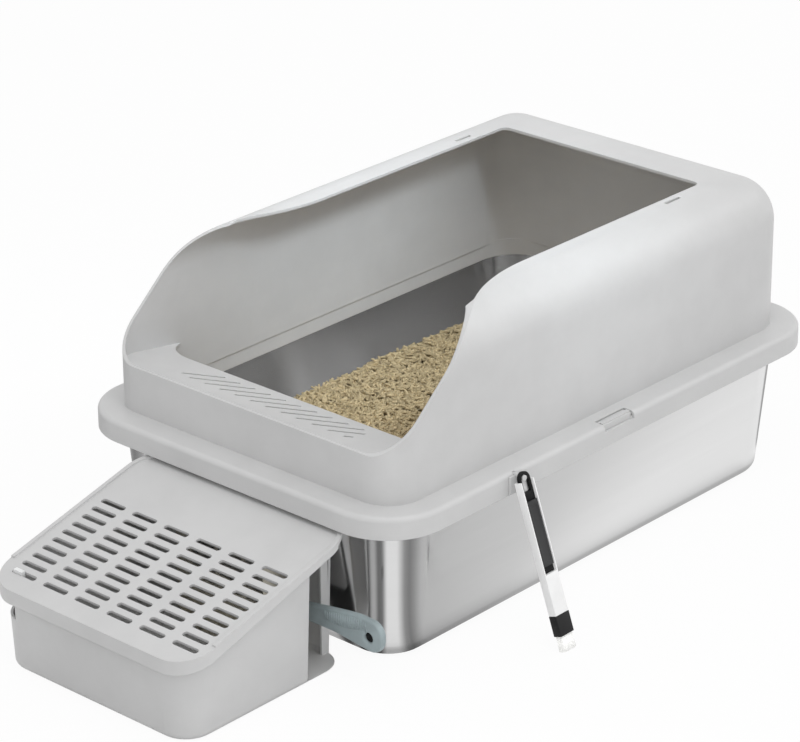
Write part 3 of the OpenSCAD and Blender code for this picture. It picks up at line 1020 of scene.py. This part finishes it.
# Painted reflection round the corner, as pale and dark bands on the floor's glow: part of the half
# turn from the front, and brightness there.
FAN = (
    (0.0, 0.02), (0.02, 0.03), (0.05, 0.42), (0.085, 0.45), (0.125, 0.12), (0.17, 0.16),
    (0.22, 0.92), (0.33, 0.92), (0.41, 0.3), (0.47, 0.2), (0.53, 0.32), (0.62, 0.55),
    (0.76, 0.63), (0.83, 0.69), (0.87, 0.74), (0.905, 0.9), (0.93, 1.0), (1.0, 1.0),
)
# The floor: the pan's outer radius there, half its size, its height and its share of glow.
PAN_FOOT = 39.7 * MM
FLOOR_HALF = 14.0
FLOOR_Z = -0.4 * MM
GLOW_SHARE = 0.94
# The dark card, a sheet that paints a dark reflection into the steel, in millimetres.
CARD_Y = -301.4
CARD_OUTLINE = ((84, 4), (118, 4), (114, 136), (84, 136))
# The camera: azimuth, elevation and roll in degrees, what it looks at and from how far.
CAMERA_TURN = (42.2, 23.78, -0.39)
CAMERA_TARGET = Vector((-0.11377, 0.04303, 0.1))
CAMERA_DISTANCE = 3.41123


class LITTERBOX_OT_stage(bpy.types.Operator):
    """Set up the floor, the soft studio light and the camera"""

    bl_idname = "litterbox.stage"
    bl_label = "Studio"

    def execute(self, context):
        setup = context.scene.litter_box_stage
        self.floor()
        self.dark_card()
        self.sky(context, setup)
        for name, direction, distance, size, power in SOFTBOXES:
            made = self.lamp(name, direction, distance, size, getattr(setup, power))
            if name in UNSEEN:
                made.visible_glossy = made.visible_camera = False
        self.inside_spot(setup.inside_power)
        self.camera(context, setup)
        context.scene.view_settings.view_transform = "Standard"
        return {"FINISHED"}

    def seen(self, graph):
        """1 where the camera, a gloss or a clear part looks, 0 for plain light."""
        camera = graph.add("ShaderNodeLightPath", output="Is Camera Ray")
        gloss = camera.other("Is Glossy Ray")
        through = camera.other("Is Transmission Ray")
        return camera.math("MAXIMUM", camera.math("MAXIMUM", camera, gloss), through)

    def painted_reflection(self, graph):
        """Painted reflection on the floor's glow: pale and dark bands fanwise round the front right
        corner for the steel to reflect, with painted shade near the pan's foot and behind it.
        """
        place = graph.place()
        x = place.add("ShaderNodeSeparateXYZ", None, {0: place})
        y = x.other("Y")
        angle = graph.math("ARCTAN2", x - PAN_CORNER[0], (y + PAN_CORNER[1]) * -1.0)
        turn = graph.math("ABSOLUTE", angle) * (1.0 / math.pi)
        beside, beyond = (
            graph.math("MAXIMUM", graph.math("ABSOLUTE", along) - corner, 0.0)
            for along, corner in zip((x, y), PAN_CORNER)
        )
        apart = graph.math("POWER", beside * beside + beyond * beyond, 0.5) - PAN_FOOT
        # Painted contact shade: the glow darker close round the pan's foot.
        painted_contact_shade = 0.5 + apart.above(0.0, 0.028) * 0.5
        # Painted shade in the reflection: the glow darker in a patch behind the pan.
        rear = y.above(0.3, 0.33) * (1 - y.above(0.45, 0.75))
        behind = rear * (1 - x.above(0.15, 0.172))
        stops = [(part, grey(value)) for part, value in FAN]
        fan = graph.add("ShaderNodeValToRGB", {"stops": stops}, {"Fac": turn})
        return fan * (painted_contact_shade * (1 - behind * 0.65))

    def floor(self):
        """Paper that glows white to the camera, and shows the steel a painted reflection of pale
        and dark bands.
        """
        mesh = bpy.data.meshes.new("floor")
        far = FLOOR_HALF
        corners = [(x, y, FLOOR_Z) for x, y in ((-far, -far), (far, -far), (far, far), (-far, far))]
        mesh.from_pydata(corners, [], [(0, 1, 2, 3)])
        made = placed("floor", mesh)
        finish = bpy.data.materials.new("floor_paper")
        graph = bare_graph(finish)
        paper = graph.add("ShaderNodeBsdfDiffuse", None, {"Color": grey(0.9)})
        camera = graph.add("ShaderNodeLightPath", output="Is Camera Ray")
        # The camera sees plain white; glossy rays see the painted reflection.
        glow = camera.math("MAXIMUM", camera, self.painted_reflection(graph))
        white = graph.add("ShaderNodeEmission", None, {"Color": glow, "Strength": 1.0})
        share = self.seen(graph) * GLOW_SHARE
        both = graph.add("ShaderNodeMixShader", None, {0: share, 1: paper, 2: white})
        graph.add("ShaderNodeOutputMaterial", None, {"Surface": both})
        mesh.materials.append(finish)

    def dark_card(self):
        """A dark card in the gap behind the step box, seen only in the steel: a painted dark
        reflection of the shade in that gap.
        """
        mesh = bpy.data.meshes.new("dark_card")
        corners = [(x * MM, CARD_Y * MM, z * MM) for x, z in CARD_OUTLINE]
        mesh.from_pydata(corners, [], [(0, 1, 2, 3)])
        made = placed("dark_card", mesh)
        made.visible_camera = made.visible_diffuse = False
        made.visible_transmission = made.visible_shadow = False
        mesh.materials.append(plain_plastic("card_black", CARD_GREY, 0.9, 0.0001, 0.0))

    def sky(self, context, setup):
        """Even light all round, white where it is looked at."""
        world = bpy.data.worlds.new("studio")
        context.scene.world = world
        graph = bare_graph(world)
        strength = setup.sky + self.seen(graph) * (1.0 - setup.sky)
        light = graph.add("ShaderNodeBackground", None, {"Color": grey(1.0), "Strength": strength})
        graph.add("ShaderNodeOutputWorld", None, {"Surface": light})

    def lamp(self, name, direction, distance, size, power):
        """A square softbox that faces the middle of the object."""
        light = bpy.data.lights.new(name, "AREA")
        light.shape = "SQUARE"
        light.size = size
        light.energy = power
        made = placed(name, light)
        self.aim(made, LAMP_AIM + Vector(direction).normalized() * distance, LAMP_AIM)
        return made

    def aim(self, lamp, start, target):
        """Puts a lamp at a place and turns it to another."""
        lamp.location = start
        lamp.rotation_euler = (target - start).to_track_quat("-Z", "Y").to_euler()

    def inside_spot(self, power):
        """A narrow cool spot through the open top onto the inside of the left wall."""
        light = bpy.data.lights.new("inside_spot", "SPOT")
        light.energy = power
        light.color = SPOT_TINT
        light.spot_size = SPOT_ANGLE
        light.spot_blend = 1.0
        light.shadow_soft_size = SPOT_RADIUS
        self.aim(placed("inside_spot", light), *SPOT_LINE)

    def camera(self, context, setup):
        """The camera, turned by azimuth, elevation and roll about its target."""
        azimuth, elevation, roll = (math.radians(v) for v in CAMERA_TURN)
        level = math.cos(elevation)
        back = Vector((math.sin(azimuth) * level, -math.cos(azimuth) * level, math.sin(elevation)))
        right = Vector((math.cos(azimuth), math.sin(azimuth), 0.0))
        up = back.cross(right)
        level_right = right * math.cos(roll) + up * math.sin(roll)
        level_up = up * math.cos(roll) - right * math.sin(roll)
        data = bpy.data.cameras.new("view")
        data.sensor_fit = "HORIZONTAL"
        data.sensor_width = 36.0
        data.lens = setup.focal
        data.clip_end = 60.0
        made = placed("view", data)
        turn = Matrix((level_right, level_up, back)).transposed().to_4x4()
        made.matrix_world = Matrix.Translation(CAMERA_TARGET + back * CAMERA_DISTANCE) @ turn
        context.scene.camera = made


class LITTERBOX_PT_panel(bpy.types.Panel):
    """Buttons and sizes of the litter box"""

    bl_label = "Drawer Litter Box"
    bl_idname = "LITTERBOX_PT_panel"
    bl_space_type = "VIEW_3D"
    bl_region_type = "UI"
    bl_category = "Litter Box"

    def draw(self, context):
        for kind in STEPS:
            self.layout.operator(kind.bl_idname)
        for name in SETTINGS:
            group = getattr(context.scene, name)
            box = self.layout.box()
            for entry in group.bl_rna.properties:
                if entry.identifier not in ("rna_type", "name"):
                    box.prop(group, entry.identifier)


SETTINGS = {
    "litter_box_finish": FinishSettings,
    "litter_box_litter": LitterSettings,
    "litter_box_brush": BrushSettings,
    "litter_box_stage": StageSettings,
}
STEPS = (
    LITTERBOX_OT_shell,
    LITTERBOX_OT_steel,
    LITTERBOX_OT_litter,
    LITTERBOX_OT_brush,
    LITTERBOX_OT_hook,
    LITTERBOX_OT_grip,
    LITTERBOX_OT_stage,
)
CLASSES = (*SETTINGS.values(), *STEPS, LITTERBOX_PT_panel)


def register():
    for kind in CLASSES:
        bpy.utils.register_class(kind)
    for name, kind in SETTINGS.items():
        setattr(bpy.types.Scene, name, PointerProperty(type=kind))


def unregister():
    for name in SETTINGS:
        delattr(bpy.types.Scene, name)
    for kind in reversed(CLASSES):
        bpy.utils.unregister_class(kind)


def main():
    register()
    for kind in STEPS:
        group, name = kind.bl_idname.split(".")
        getattr(getattr(bpy.ops, group), name)()


if __name__ == "__main__":
    main()
